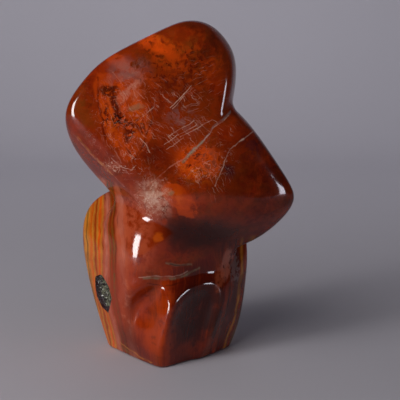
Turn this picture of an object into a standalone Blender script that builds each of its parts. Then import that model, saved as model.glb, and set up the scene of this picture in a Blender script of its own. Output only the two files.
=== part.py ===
"""A free-form ornament of polished red jasper that stands on a small flat foot.

The stone is one natural piece, ground into flats whose edges are worn round. It is described as four
lumps that run into each other: a slab at the top, a shoulder that juts out to the right, a neck and a
base. Each lump is a convex block sawn along its flats. Two scoops are ground out of the base's front and
one hollow out of its back. A natural pit in the left flank holds a crust of small crystals.

The origin is on the flat foot. +Z is up and -Y is the front, where the scoops are.
"""

import math
import random

import bmesh
import bpy
import numpy as np
from mathutils import Euler, Matrix, Vector

MM = 0.001

# An edge: x and z of a corner of the outline seen from the front, y of the widest line there, and the
# lean of the front and back flats that start at it, in degrees. Corners run clockwise from the top.
# A face: a point on a flat of the stone, then the way it looks: azimuth from the front to +X, elevation.
# Lengths are in millimetres.
SLAB_EDGES = (
    (14, 284, -14, 24, 30), (37, 277, -8, 18, 35), (54, 255, -4, 12, 30), (58, 226, -2, 10, 30),
    (50, 196, 0, 12, 30), (34, 110, 0, 30, 30), (-20, 100, 0, 30, 30), (-47, 131, 4, 30, 38),
    (-81, 168, -8, 30, 38), (-89, 192, -22, 18, 36), (-83, 216, -25, 18, 34), (-53, 252, -25, 20, 30),
    (-22, 268, -22, 22, 30),
)
SLAB_FACES = ((-5, -36, 200, -3, 3), (32, -35, 240, 18, 6), (-68, -32, 195, -14, 1), (-5, 42, 200, 186, 7))
SHOULDER_EDGES = (
    (42, 220, -14, 14, 30), (60, 208, -16, 10, 35), (75, 189, -18, 10, 35), (107, 138, -18, 26, 40),
    (104, 127, -12, 34, 40), (70, 95, -8, 48, 35), (20, 84, -8, 45, 30), (-22, 106, -8, 30, 30),
    (-34, 140, -8, 30, 30), (0, 190, -8, 37, 30),
)
SHOULDER_FACES = ((32, -49, 155, -10, 4), (36, -49, 155, 22, 6), (30, 34, 150, 163, 6), (29, -43, 104, 0, -37))
FLANK = (-33, -45, 82, -41, 12)
HIGH_CHEEK, LOW_CHEEK = (-33, -37.8, 84, -28, 8), (-35, -38.6, 66, -28, 8)
NECK_EDGES = (
    (-30, 150, 0, 10, 30), (40, 140, 0, 10, 30), (58, 110, 0, 30, 30), (50, 50, 0, 30, 30),
    (-50, 50, 0, 30, 30), (-60, 110, 0, 30, 30),
)
NECK_FACES = (
    FLANK, HIGH_CHEEK, (-28, -43, 80, 5, -2), (4, -39, 75, 28, -5), (-20, -42, 110, -12, 32), (0, 40, 100, 180, 0),
)
BASE_EDGES = (
    (-34, 144, 14, 48, 40), (0, 133, 12, 40, 40), (50, 114, 12, 35, 35), (70, 100, 10, 30, 30),
    (69, 78, 10, 28, 30), (67, 55, 10, 28, 30), (64, 30, 10, 28, 30), (55, 2, 10, 28, 30),
    (44, -20, 10, 20, 20), (-52, -20, 10, 40, 30), (-58, 2, 12, 36, 35), (-67, 26, 12, 36, 35),
    (-73, 46, 14, 36, 35), (-77, 72, 16, 37, 35), (-79, 95, 18, 38, 35), (-76, 113, 18, 42, 35),
    (-66, 129, 16, 48, 40),
)
BASE_FACES = (
    FLANK, LOW_CHEEK, (-41, -40, 38, -53, -3), (-2, -51, 40, -19, 2), (39, -29.5, 45, 34, 5),
    (18, -29, 0, 47, -21), (-2, -50, 4, -3, -18), (0, 56, 50, 180, 6), (41, -26, 62, 44, 20), (4, -46, 66, 8, 40),
)
# How round the edges of the slab, the shoulder, the neck and the base are.
SLAB_SOFT, SHOULDER_SOFT, NECK_SOFT, BASE_SOFT = 3.0, 3.5, 4.0, 3.0
# How widely each lump runs into those above it.
SHOULDER_MELT, NECK_MELT, BASE_MELT = 8.0, 9.0, 4.0

# The scoops are given by the walls of the tool that grinds them, so a wall looks into the stone.
LEFT_SCOOP_FACES = (
    (-6, -49, 45, 131, -12), (-47, -34, 45, 206, 6), (-32, -41, 62, 198, 46), (-34, -40, 10, 133, -42),
    (-20, -70, 40, 0, 0),
)
RIGHT_SCOOP_FACES = (
    (1, -48, 35, 245, 20), (18, -30, 6, 222, 5), (38, -30, 50, 148, -8), (30, -38, 66, 195, 50),
    (20, -90, 40, 20, 0),
)
BACK_HOLLOW_FACES = (
    (12, 49, 70, 0, 4), (-22, 50, 70, -68, 0), (44, 48, 70, 60, 0), (10, 50, 104, 0, 52),
    (14, 50, 32, 0, -50), (10, 80, 70, 180, 0),
)
LEFT_SOFT, LEFT_RIM, RIGHT_SOFT, RIGHT_RIM = 3.0, 6.0, 3.5, 5.5
HOLLOW_SOFT, HOLLOW_RIM = 7.0, 7.0

# The pit in the left flank, an uneven bowl that looks the way the flank does.
PIT_PLACE = (-57.7, -5.9, 53.1)
PIT_LOOK = (-52, -13)
PIT_HALF = (12.0, 17.5, 8.0)
PIT_TURN = 8
PIT_ROUGH = 0.13
DRUSE_SHARE = 0.93
DRUSE_TOP = -3.2
CRYSTAL_GRID, CRYSTAL_STEP, CRYSTAL_REACH = 4, 4.0, 0.62
CRYSTAL_RADIUS, CRYSTAL_HEIGHT, CRYSTAL_LEAN, CRYSTAL_ROOT = (1.4, 2.2), (2.4, 4.6), 0.3, 0.5

BLOCK = 400.0
VOXEL = 5.65
GRIND_STEPS, GRIND_MOST, GRADIENT_STEP = 9, 3.0, 0.3
RELAX_ROUNDS, RELAX_STEPS = 3, 2
BELOW_FOOT = 12.0

STONE_COLOUR, STONE_ROUGHNESS = (0.21, 0.035, 0.012, 1.0), 0.12
DRUSE_COLOUR, DRUSE_ROUGHNESS = (0.12, 0.11, 0.10, 1.0), 0.4


def clear_scene():
    for thing in list(bpy.data.objects):
        bpy.data.objects.remove(thing, do_unlink=True)


def new_collection(name):
    collection = bpy.data.collections.new(name)
    bpy.context.scene.collection.children.link(collection)
    return collection


def material(name, colour, roughness):
    made = bpy.data.materials.new(name)
    made.use_nodes = True
    surface = made.node_tree.nodes["Principled BSDF"]
    surface.inputs["Base Color"].default_value = colour
    surface.inputs["Roughness"].default_value = roughness
    surface.inputs["Metallic"].default_value = 0.0
    return made


def aim(azimuth, elevation):
    a, e = math.radians(azimuth), math.radians(elevation)
    return np.array((math.sin(a) * math.cos(e), -math.cos(a) * math.cos(e), math.sin(e)))


def flats(edges, faces):
    """Normals and offsets, in millimetres, of every flat of a lump."""
    normals = []
    offsets = []
    for (x, z, y, front, back), (next_x, next_z, *_) in zip(edges, edges[1:] + edges[:1]):
        length = math.hypot(next_x - x, next_z - z)
        out_x, out_z = (z - next_z) / length, (next_x - x) / length
        for lean, side in ((front, -1), (back, 1)):
            c, s = math.cos(math.radians(lean)), math.sin(math.radians(lean))
            normals.append(np.array((c * out_x, side * s, c * out_z)))
            offsets.append(normals[-1] @ np.array((x, y, z)))
    for x, y, z, azimuth, elevation in faces:
        normals.append(aim(azimuth, elevation))
        offsets.append(normals[-1] @ np.array((x, y, z)))
    return np.array(normals), np.array(offsets)


SLAB, SHOULDER = flats(SLAB_EDGES, SLAB_FACES), flats(SHOULDER_EDGES, SHOULDER_FACES)
NECK, BASE = flats(NECK_EDGES, NECK_FACES), flats(BASE_EDGES, BASE_FACES)
LEFT_SCOOP, RIGHT_SCOOP = flats((), LEFT_SCOOP_FACES), flats((), RIGHT_SCOOP_FACES)
BACK_HOLLOW = flats((), BACK_HOLLOW_FACES)


def lump(points, sides, soft):
    """Distance out of a convex lump whose edges are worn round."""
    normals, offsets = sides
    out = (points @ normals.T - offsets) / soft
    most = out.max(axis=1)
    return soft * (most + np.log(np.exp(out - most[:, None]).sum(axis=1)) - math.log(2))


def melt(a, b, soft):
    """Two lumps run into one."""
    share = np.clip(0.5 + 0.5 * (b - a) / soft, 0, 1)
    return b * (1 - share) + a * share - soft * share * (1 - share)


def carve(body, tool, soft):
    return -melt(-body, tool, soft)


def stone_distance(points):
    """Distance out of the ground stone, in millimetres, at points in millimetres."""
    d = melt(lump(points, SLAB, SLAB_SOFT), lump(points, SHOULDER, SHOULDER_SOFT), SHOULDER_MELT)
    d = melt(d, lump(points, NECK, NECK_SOFT), NECK_MELT)
    d = melt(d, lump(points, BASE, BASE_SOFT), BASE_MELT)
    d = carve(d, lump(points, LEFT_SCOOP, LEFT_SOFT), LEFT_RIM)
    d = carve(d, lump(points, RIGHT_SCOOP, RIGHT_SOFT), RIGHT_RIM)
    return carve(d, lump(points, BACK_HOLLOW, HOLLOW_SOFT), HOLLOW_RIM)


def saw(bm, point, normal):
    """Cuts off what is beyond a plane and closes the cut."""
    geometry = bm.verts[:] + bm.edges[:] + bm.faces[:]
    cut = bmesh.ops.bisect_plane(bm, geom=geometry, plane_co=point, plane_no=normal, clear_outer=True)
    rim = [part for part in cut["geom_cut"] if isinstance(part, bmesh.types.BMEdge)]
    if rim:
        bmesh.ops.contextual_create(bm, geom=rim)


def sawn_block(sides):
    bm = bmesh.new()
    bmesh.ops.create_cube(bm, size=BLOCK * MM, matrix=Matrix.Translation((0, 0, BLOCK * MM / 3)))
    for normal, offset in zip(*sides):
        saw(bm, Vector(normal) * float(offset) * MM, Vector(normal))
    saw(bm, (0, 0, -BELOW_FOOT * MM), (0, 0, -1))
    bmesh.ops.recalc_face_normals(bm, faces=bm.faces[:])
    block = bpy.data.meshes.new("block")
    bm.to_mesh(block)
    bm.free()
    return block


def remeshed(mesh, voxel):
    """An even skin over everything in a mesh."""
    holder = bpy.data.objects.new("holder", mesh)
    bpy.context.scene.collection.objects.link(holder)
    skin = holder.modifiers.new("Skin", "REMESH")
    skin.mode = "VOXEL"
    skin.voxel_size = voxel * MM
    bpy.context.view_layer.update()
    evaluated = holder.evaluated_get(bpy.context.evaluated_depsgraph_get())
    made = bpy.data.meshes.new_from_object(evaluated)
    bpy.data.objects.remove(holder, do_unlink=True)
    return made


def grind(mesh):
    """Moves every point of a rough skin onto the ground surface."""
    points = np.empty(len(mesh.vertices) * 3, dtype=np.float32)
    mesh.vertices.foreach_get("co", points)
    points = points.reshape(-1, 3).astype(float) / MM
    for _ in range(GRIND_STEPS):
        slope = np.empty_like(points)
        for axis, step in enumerate(np.eye(3) * GRADIENT_STEP):
            slope[:, axis] = stone_distance(points + step) - stone_distance(points - step)
        slope /= 2 * GRADIENT_STEP
        move = stone_distance(points) / (slope**2).sum(axis=1).clip(0.2)
        points -= move.clip(-GRIND_MOST, GRIND_MOST)[:, None] * slope
    mesh.vertices.foreach_set("co", (points * MM).astype(np.float32).ravel())
    mesh.update()


def relax(mesh):
    """Evens out the faces of a skin."""
    bm = bmesh.new()
    bm.from_mesh(mesh)
    for _ in range(RELAX_STEPS):
        bmesh.ops.smooth_vert(bm, verts=bm.verts[:], factor=0.5, use_axis_x=True, use_axis_y=True, use_axis_z=True)
    bm.to_mesh(mesh)
    bm.free()


def cut_foot(mesh):
    """Saws the stone off flat where it stands."""
    bm = bmesh.new()
    bm.from_mesh(mesh)
    saw(bm, (0, 0, 0), (0, 0, -1))
    bmesh.ops.triangulate(bm, faces=bm.faces[:])
    bmesh.ops.recalc_face_normals(bm, faces=bm.faces[:])
    bm.to_mesh(mesh)
    bm.free()


def build_stone(collection):
    bm = bmesh.new()
    for sides in (SLAB, SHOULDER, NECK, BASE):
        block = sawn_block(sides)
        bm.from_mesh(block)
        bpy.data.meshes.remove(block)
    blocks = bpy.data.meshes.new("blocks")
    bm.to_mesh(blocks)
    bm.free()
    skin = remeshed(blocks, VOXEL)
    grind(skin)
    skin = remeshed(skin, VOXEL)
    for _ in range(RELAX_ROUNDS):
        grind(skin)
        relax(skin)
    grind(skin)
    cut_foot(skin)
    skin.name = "jasper_stone"
    skin.materials.append(material("red_jasper", STONE_COLOUR, STONE_ROUGHNESS))
    skin.shade_smooth()
    skin.set_sharp_from_angle(angle=math.radians(50))
    stone = bpy.data.objects.new("jasper_stone", skin)
    collection.objects.link(stone)
    return stone


def pit_frame():
    """The pit's place: its own z looks out of the flank and its own y runs up it."""
    out = Vector(aim(*PIT_LOOK))
    across = Vector((0, 0, 1)).cross(out).normalized()
    up = out.cross(across)
    turn = Matrix((across, up, out)).transposed().to_4x4()
    return Matrix.Translation(Vector(PIT_PLACE) * MM) @ turn @ Matrix.Rotation(math.radians(PIT_TURN), 4, "Z")


def rough_bowl(share):
    """The uneven bowl that the pit is, in its own frame, or a smaller one inside it."""
    dice = random.Random(4)
    bm = bmesh.new()
    bmesh.ops.create_icosphere(bm, subdivisions=2, radius=1.0)
    for vert in bm.verts:
        vert.co *= 1 + PIT_ROUGH * dice.uniform(-1, 1)
        vert.co = Vector(c * half * share * MM for c, half in zip(vert.co, PIT_HALF))
    return bm


def cut_pit(stone, collection):
    bm = rough_bowl(1.0)
    bowl = bpy.data.meshes.new("pit_cutter")
    bm.to_mesh(bowl)
    bm.free()
    cutter = bpy.data.objects.new("pit_cutter", bowl)
    cutter.matrix_world = pit_frame()
    cutter.hide_render = True
    cutter.display_type = "WIRE"
    collection.objects.link(cutter)
    cut = stone.modifiers.new("Pit", "BOOLEAN")
    cut.operation = "DIFFERENCE"
    cut.object = cutter


def crystal(place, radius, height, lean):
    """A six-sided crystal with a pointed end, standing in the crust."""
    bm = bmesh.new()
    body = 0.55 * height
    bmesh.ops.create_cone(
        bm, cap_ends=True, segments=6, radius1=radius, radius2=radius, depth=body,
        matrix=Matrix.Translation((0, 0, body / 2)))
    top = max(bm.faces, key=lambda face: face.calc_center_median().z)
    point = bmesh.ops.poke(bm, faces=[top])["verts"][0]
    point.co.z = height
    bmesh.ops.transform(bm, matrix=Matrix.Translation(place) @ Euler(lean).to_matrix().to_4x4(), verts=bm.verts[:])
    mesh = bpy.data.meshes.new("crystal")
    bm.to_mesh(mesh)
    bm.free()
    return mesh


def crystal_meshes():
    """Crystals on a loose grid over the crust, none of them near the pit's wall."""
    dice = random.Random(9)
    for row in range(-CRYSTAL_GRID, CRYSTAL_GRID + 1):
        for column in range(-CRYSTAL_GRID, CRYSTAL_GRID + 1):
            x = (column + dice.uniform(-0.25, 0.25)) * CRYSTAL_STEP
            y = (row + dice.uniform(-0.25, 0.25)) * CRYSTAL_STEP
            radius, height = dice.uniform(*CRYSTAL_RADIUS), dice.uniform(*CRYSTAL_HEIGHT)
            lean = [dice.uniform(-CRYSTAL_LEAN, CRYSTAL_LEAN) for _ in range(2)] + [dice.uniform(0, math.pi)]
            if math.hypot(x / PIT_HALF[0], y / PIT_HALF[1]) < CRYSTAL_REACH:
                place = Vector((x, y, DRUSE_TOP - CRYSTAL_ROOT)) * MM
                yield crystal(place, radius * MM, height * MM, lean)


def build_druse(collection, helpers):
    bm = rough_bowl(DRUSE_SHARE)
    saw(bm, (0, 0, DRUSE_TOP * MM), (0, 0, 1))
    bmesh.ops.recalc_face_normals(bm, faces=bm.faces[:])
    crust = bpy.data.meshes.new("pit_druse")
    bm.to_mesh(crust)
    bm.free()
    crust.materials.append(material("grey_druse", DRUSE_COLOUR, DRUSE_ROUGHNESS))
    druse = bpy.data.objects.new("pit_druse", crust)
    druse.matrix_world = pit_frame()
    collection.objects.link(druse)
    for number, mesh in enumerate(crystal_meshes()):
        grown = bpy.data.objects.new(f"crystal_{number:02d}", mesh)
        grown.matrix_world = pit_frame()
        grown.hide_render = True
        grown.display_type = "WIRE"
        helpers.objects.link(grown)
        union = druse.modifiers.new(grown.name, "BOOLEAN")
        union.operation = "UNION"
        union.object = grown


def main():
    clear_scene()
    parts = new_collection("jasper_ornament")
    helpers = new_collection("helpers")
    stone = build_stone(parts)
    cut_pit(stone, helpers)
    build_druse(parts, helpers)


main()
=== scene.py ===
"""The looks of a free-form ornament of polished red jasper.

The stone's fine skin is ground to the same lumps as its solid, at about a millimetre, and its markings
are a procedural material: mottled red and brown jasper above, upright bands of ochre, rust and olive in
the base, patches of orange breccia, pale needles and veins. Some shade under the shoulder, in the right
scoop and on the base's right side is painted into the colour, as is a hazy reflection on the slab. The
pit in the flank has raw walls and a crust of small crystals.
"""

import math
import random

import bmesh
import bpy
import numpy as np
from bpy.props import FloatProperty, FloatVectorProperty, IntProperty, PointerProperty
from mathutils import Euler, Matrix, Vector


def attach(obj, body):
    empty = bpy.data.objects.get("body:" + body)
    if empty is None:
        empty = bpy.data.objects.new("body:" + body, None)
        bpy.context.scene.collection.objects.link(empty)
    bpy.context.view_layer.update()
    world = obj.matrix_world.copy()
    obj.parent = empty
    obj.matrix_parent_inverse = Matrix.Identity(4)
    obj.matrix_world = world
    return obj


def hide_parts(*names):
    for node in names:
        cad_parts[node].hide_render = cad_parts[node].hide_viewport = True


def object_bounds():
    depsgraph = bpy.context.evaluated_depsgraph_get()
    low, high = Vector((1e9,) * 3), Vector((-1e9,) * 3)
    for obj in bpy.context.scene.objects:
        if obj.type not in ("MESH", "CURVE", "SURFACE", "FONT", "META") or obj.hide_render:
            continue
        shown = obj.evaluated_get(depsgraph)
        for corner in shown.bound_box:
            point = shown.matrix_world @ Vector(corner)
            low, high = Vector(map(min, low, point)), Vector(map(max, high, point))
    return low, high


bl_info = {
    "name": "Polished Jasper Ornament",
    "version": (1, 0, 0),
    "blender": (4, 5, 0),
    "location": "3D View > Sidebar > Jasper",
    "description": "Builds the fine stone, its crystal crust and a plain studio stage",
    "category": "Object",
}

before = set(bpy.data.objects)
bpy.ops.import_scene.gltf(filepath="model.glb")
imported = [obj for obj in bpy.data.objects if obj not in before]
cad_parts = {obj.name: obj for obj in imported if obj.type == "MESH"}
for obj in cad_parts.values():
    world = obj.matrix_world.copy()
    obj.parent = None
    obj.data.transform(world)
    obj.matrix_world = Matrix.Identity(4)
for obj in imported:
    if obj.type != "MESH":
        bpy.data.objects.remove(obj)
cad_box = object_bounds()

MM = 0.001

# An edge: x and z of a corner of the outline seen from the front, y of the widest line there, and the
# lean of the front and back flats that start at it, in degrees. Corners run clockwise from the top.
# A face: a point on a flat of the stone, then the way it looks: azimuth from the front to +X, elevation.
# Lengths are in millimetres.
SLAB_EDGES = (
    (14, 284, -14, 24, 30), (37, 277, -8, 18, 35), (54, 255, -4, 12, 30), (58, 226, -2, 10, 30),
    (50, 196, 0, 12, 30), (34, 110, 0, 30, 30), (-20, 100, 0, 30, 30), (-47, 131, 4, 30, 38),
    (-81, 168, -8, 30, 38), (-89, 192, -22, 18, 36), (-83, 216, -25, 18, 34), (-53, 252, -25, 20, 30),
    (-22, 268, -22, 22, 30),
)
SLAB_FACES = ((-5, -36, 200, -3, 3), (32, -35, 240, 18, 6), (-68, -32, 195, -14, 1), (-5, 42, 200, 186, 7))
SHOULDER_EDGES = (
    (42, 220, -14, 14, 30), (60, 208, -16, 10, 35), (75, 189, -18, 10, 35), (107, 138, -18, 26, 40),
    (104, 127, -12, 34, 40), (70, 95, -8, 48, 35), (20, 84, -8, 45, 30), (-22, 106, -8, 30, 30),
    (-34, 140, -8, 30, 30), (0, 190, -8, 37, 30),
)
SHOULDER_FACES = (
    (32, -49, 155, -10, 4), (36, -49, 155, 22, 6), (30, 34, 150, 163, 6), (29, -43, 104, 0, -37),
)
FLANK = (-33, -45, 82, -41, 12)
HIGH_CHEEK, LOW_CHEEK = (-33, -37.8, 84, -28, 8), (-35, -38.6, 66, -28, 8)
NECK_EDGES = (
    (-30, 150, 0, 10, 30), (40, 140, 0, 10, 30), (58, 110, 0, 30, 30), (50, 50, 0, 30, 30),
    (-50, 50, 0, 30, 30), (-60, 110, 0, 30, 30),
)
NECK_FACES = (
    FLANK, HIGH_CHEEK, (-28, -43, 80, 5, -2), (4, -39, 75, 28, -5), (-20, -42, 110, -12, 32),
    (0, 40, 100, 180, 0),
)
BASE_EDGES = (
    (-34, 144, 14, 48, 40), (0, 133, 12, 40, 40), (50, 114, 12, 35, 35), (70, 100, 10, 30, 30),
    (69, 78, 10, 28, 30), (67, 55, 10, 28, 30), (64, 30, 10, 28, 30), (55, 2, 10, 28, 30),
    (44, -20, 10, 20, 20), (-52, -20, 10, 40, 30), (-58, 2, 12, 36, 35), (-67, 26, 12, 36, 35),
    (-73, 46, 14, 36, 35), (-77, 72, 16, 37, 35), (-79, 95, 18, 38, 35), (-76, 113, 18, 42, 35),
    (-66, 129, 16, 48, 40),
)
BASE_FACES = (
    FLANK, LOW_CHEEK, (-41, -40, 38, -53, -3), (-2, -51, 40, -19, 2), (39, -29.5, 45, 34, 5),
    (18, -29, 0, 47, -21), (-2, -50, 4, -3, -18), (0, 56, 50, 180, 6), (41, -26, 62, 44, 20),
    (4, -46, 66, 8, 40),
)
SLAB_SOFT, SHOULDER_SOFT, NECK_SOFT, BASE_SOFT = 3.0, 3.5, 4.0, 2.5
SHOULDER_MELT, NECK_MELT, BASE_MELT = 7.0, 8.0, 2.0

# The scoops are given by the walls of the tool that grinds them, so a wall looks into the stone.
LEFT_SCOOP_FACES = (
    (-6, -49, 45, 131, -12), (-47, -34, 45, 206, 6), (-32, -41, 62, 198, 46), (-34, -40, 10, 133, -42),
    (-20, -70, 40, 0, 0),
)
RIGHT_SCOOP_FACES = (
    (1, -48, 35, 245, 20), (18, -30, 6, 222, 5), (38, -30, 50, 148, -8), (30, -38, 66, 195, 50),
    (20, -90, 40, 20, 0),
)
BACK_HOLLOW_FACES = (
    (12, 49, 70, 0, 4), (-22, 50, 70, -68, 0), (44, 48, 70, 60, 0), (10, 50, 104, 0, 52),
    (14, 50, 32, 0, -50), (10, 80, 70, 180, 0),
)
LEFT_SOFT, LEFT_RIM, RIGHT_SOFT, RIGHT_RIM = 2.5, 6.0, 3.5, 5.0
HOLLOW_SOFT, HOLLOW_RIM = 7.0, 7.0
FOOT_ROUND = 1.6

# The pit in the left flank, an uneven bowl that looks the way the flank does.
PIT_PLACE = (-57.7, -5.9, 53.1)
PIT_LOOK = (-52, -13)
PIT_HALF = (12.0, 17.5, 8.0)
PIT_TURN = 8
PIT_ROUGH = 0.13
DRUSE_SHARE = 0.93
DRUSE_TOP = -3.2
CRYSTAL_GRID, CRYSTAL_STEP, CRYSTAL_REACH = 9, 1.7, 0.78
CRYSTAL_RADIUS, CRYSTAL_HEIGHT, CRYSTAL_LEAN, CRYSTAL_ROOT = (0.7, 1.4), (1.5, 3.6), 0.45, 0.5

BLOCK = 400.0
BELOW_FOOT = 12.0
GRIND_STEPS, GRIND_MOST, GRADIENT_STEP = 6, 3.0, 0.2

# Pigments of the stone. In a few patches MAROON is painted shade and ASH is a painted reflection.
MAROON = (0.022, 0.0018, 0.0005)
WINE = (0.065, 0.004, 0.0008)
RED_BROWN = (0.135, 0.0085, 0.0008)
BROWN = (0.155, 0.019, 0.0012)
RUST = (0.260, 0.021, 0.0012)
ORANGE = (0.400, 0.040, 0.002)
FLAME = (0.640, 0.066, 0.003)
AMBER = (0.520, 0.085, 0.004)
OCHRE = (0.480, 0.175, 0.018)
OLIVE = (0.120, 0.060, 0.008)
CORAL = (0.420, 0.080, 0.030)
ROSE = (0.470, 0.145, 0.090)
BONE = (0.600, 0.390, 0.290)
ASH = (0.200, 0.140, 0.130)
SAGE = (0.180, 0.145, 0.080)
PLUM = (0.045, 0.008, 0.012)
PIT_BLACK = (0.010, 0.006, 0.010)
PIT_GREY = (0.10, 0.09, 0.085)
DRUSE_PURPLE = (0.022, 0.012, 0.022)
DRUSE_GREEN = (0.17, 0.172, 0.115)

# How the stone takes the light.
JASPER_IOR = 1.54
JASPER_SHINE = 0.36
GLOSS_FINE, GLOSS_DULL, FIBRE_DULL = 0.05, 0.11, 0.08
WALL_ROUGHNESS, DRUSE_ROUGHNESS = 0.55, 0.28
SHARP_ANGLE = math.radians(40)


def rgba(colour):
    return (*colour, 1.0)


# How the stone is ground.
def aim(azimuth, elevation):
    a, e = math.radians(azimuth), math.radians(elevation)
    return np.array((math.sin(a) * math.cos(e), -math.cos(a) * math.cos(e), math.sin(e)))


def flats(edges, faces):
    """Normals and offsets, in millimetres, of every flat of a lump."""
    normals = []
    offsets = []
    for (x, z, y, front, back), (next_x, next_z, *_) in zip(edges, edges[1:] + edges[:1]):
        length = math.hypot(next_x - x, next_z - z)
        out_x, out_z = (z - next_z) / length, (next_x - x) / length
        for lean, side in ((front, -1), (back, 1)):
            c, s = math.cos(math.radians(lean)), math.sin(math.radians(lean))
            normals.append(np.array((c * out_x, side * s, c * out_z)))
            offsets.append(normals[-1] @ np.array((x, y, z)))
    for x, y, z, azimuth, elevation in faces:
        normals.append(aim(azimuth, elevation))
        offsets.append(normals[-1] @ np.array((x, y, z)))
    return np.array(normals), np.array(offsets)


SLAB, SHOULDER = flats(SLAB_EDGES, SLAB_FACES), flats(SHOULDER_EDGES, SHOULDER_FACES)
NECK, BASE = flats(NECK_EDGES, NECK_FACES), flats(BASE_EDGES, BASE_FACES)
LEFT_SCOOP, RIGHT_SCOOP = flats((), LEFT_SCOOP_FACES), flats((), RIGHT_SCOOP_FACES)
BACK_HOLLOW = flats((), BACK_HOLLOW_FACES)


def lump(points, sides, soft):
    """Distance out of a convex lump whose edges are worn round."""
    normals, offsets = sides
    out = (points @ normals.T - offsets) / soft
    most = out.max(axis=1)
    return soft * (most + np.log(np.exp(out - most[:, None]).sum(axis=1)) - math.log(2))


def melt(a, b, soft):
    """Two lumps run into one."""
    share = np.clip(0.5 + 0.5 * (b - a) / soft, 0, 1)
    return b * (1 - share) + a * share - soft * share * (1 - share)


def carve(body, tool, soft):
    return -melt(-body, tool, soft)


def stone_distance(points):
    """Distance out of the polished stone, in millimetres, at points in millimetres."""
    d = melt(lump(points, SLAB, SLAB_SOFT), lump(points, SHOULDER, SHOULDER_SOFT), SHOULDER_MELT)
    d = melt(d, lump(points, NECK, NECK_SOFT), NECK_MELT)
    d = melt(d, lump(points, BASE, BASE_SOFT), BASE_MELT)
    d = carve(d, lump(points, LEFT_SCOOP, LEFT_SOFT), LEFT_RIM)
    d = carve(d, lump(points, RIGHT_SCOOP, RIGHT_SOFT), RIGHT_RIM)
    d = carve(d, lump(points, BACK_HOLLOW, HOLLOW_SOFT), HOLLOW_RIM)
    return carve(d, points[:, 2], FOOT_ROUND)


def saw(bm, point, normal):
    """Cuts off what is beyond a plane and closes the cut."""
    geometry = bm.verts[:] + bm.edges[:] + bm.faces[:]
    cut = bmesh.ops.bisect_plane(bm, geom=geometry, plane_co=point, plane_no=normal, clear_outer=True)
    rim = [part for part in cut["geom_cut"] if isinstance(part, bmesh.types.BMEdge)]
    if rim:
        bmesh.ops.contextual_create(bm, geom=rim)


def mesh_of(bm, name):
    mesh = bpy.data.meshes.new(name)
    bm.to_mesh(mesh)
    bm.free()
    return mesh


def sawn_block(sides):
    bm = bmesh.new()
    bmesh.ops.create_cube(bm, size=BLOCK * MM, matrix=Matrix.Translation((0, 0, BLOCK * MM / 3)))
    for normal, offset in zip(*sides):
        saw(bm, Vector(normal) * float(offset) * MM, Vector(normal))
    saw(bm, (0, 0, 0), (0, 0, -1))
    bmesh.ops.recalc_face_normals(bm, faces=bm.faces[:])
    return mesh_of(bm, "block")


def evaluated_mesh(thing):
    bpy.context.view_layer.update()
    return bpy.data.meshes.new_from_object(thing.evaluated_get(bpy.context.evaluated_depsgraph_get()))


def remeshed(mesh, voxel):
    """An even skin over everything in a mesh."""
    holder = bpy.data.objects.new("holder", mesh)
    bpy.context.scene.collection.objects.link(holder)
    skin = holder.modifiers.new("Skin", "REMESH")
    skin.mode = "VOXEL"
    skin.voxel_size = voxel * MM
    made = evaluated_mesh(holder)
    bpy.data.objects.remove(holder, do_unlink=True)
    return made


def grind(mesh):
    """Moves every point of a rough skin onto the polished surface."""
    points = np.empty(len(mesh.vertices) * 3, dtype=np.float32)
    mesh.vertices.foreach_get("co", points)
    points = points.reshape(-1, 3).astype(float) / MM
    for _ in range(GRIND_STEPS):
        slope = np.empty_like(points)
        here = stone_distance(points)
        for axis, step in enumerate(np.eye(3) * GRADIENT_STEP):
            slope[:, axis] = (stone_distance(points + step) - here) / GRADIENT_STEP
        move = here / (slope**2).sum(axis=1).clip(0.2)
        points -= move.clip(-GRIND_MOST, GRIND_MOST)[:, None] * slope
    mesh.vertices.foreach_set("co", (points * MM).astype(np.float32).ravel())
    mesh.update()


def relax(mesh, rounds):
    bm = bmesh.new()
    bm.from_mesh(mesh)
    for _ in range(rounds):
        bmesh.ops.smooth_vert(
            bm, verts=bm.verts[:], factor=0.5, use_axis_x=True, use_axis_y=True, use_axis_z=True)
    bm.to_mesh(mesh)
    bm.free()


def fine_skin(rough_voxel, fine_voxel):
    bm = bmesh.new()
    for sides in (SLAB, SHOULDER, NECK, BASE):
        block = sawn_block(sides)
        bm.from_mesh(block)
        bpy.data.meshes.remove(block)
    skin = remeshed(mesh_of(bm, "blocks"), rough_voxel)
    grind(skin)
    skin = remeshed(skin, fine_voxel)
    grind(skin)
    relax(skin, 2)
    grind(skin)
    fit(skin, cad_box)
    return skin


def fit(mesh, box):
    """Brings the outermost points of a skin to the faces of a box."""
    points = np.empty(len(mesh.vertices) * 3, dtype=np.float32)
    mesh.vertices.foreach_get("co", points)
    points = points.reshape(-1, 3).astype(float)
    low, high = points.min(axis=0), points.max(axis=0)
    box_low, box_high = (np.array(corner) for corner in box)
    points = box_low + (points - low) * (box_high - box_low) / (high - low)
    mesh.vertices.foreach_set("co", points.astype(np.float32).ravel())
    mesh.update()


def pit_frame():
    """The pit's place: its own z looks out of the flank and its own y runs up it."""
    out = Vector(aim(*PIT_LOOK))
    across = Vector((0, 0, 1)).cross(out).normalized()
    turn = Matrix((across, out.cross(across), out)).transposed().to_4x4()
    roll = Matrix.Rotation(math.radians(PIT_TURN), 4, "Z")
    return Matrix.Translation(Vector(PIT_PLACE) * MM) @ turn @ roll


def rough_bowl(share):
    """The uneven bowl that the pit is, in its own frame, or a smaller one inside it."""
    dice = random.Random(4)
    bm = bmesh.new()
    bmesh.ops.create_icosphere(bm, subdivisions=2, radius=1.0)
    for vert in bm.verts:
        vert.co *= 1 + PIT_ROUGH * dice.uniform(-1, 1)
        vert.co = Vector(c * half * share * MM for c, half in zip(vert.co, PIT_HALF))
    return bm


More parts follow.
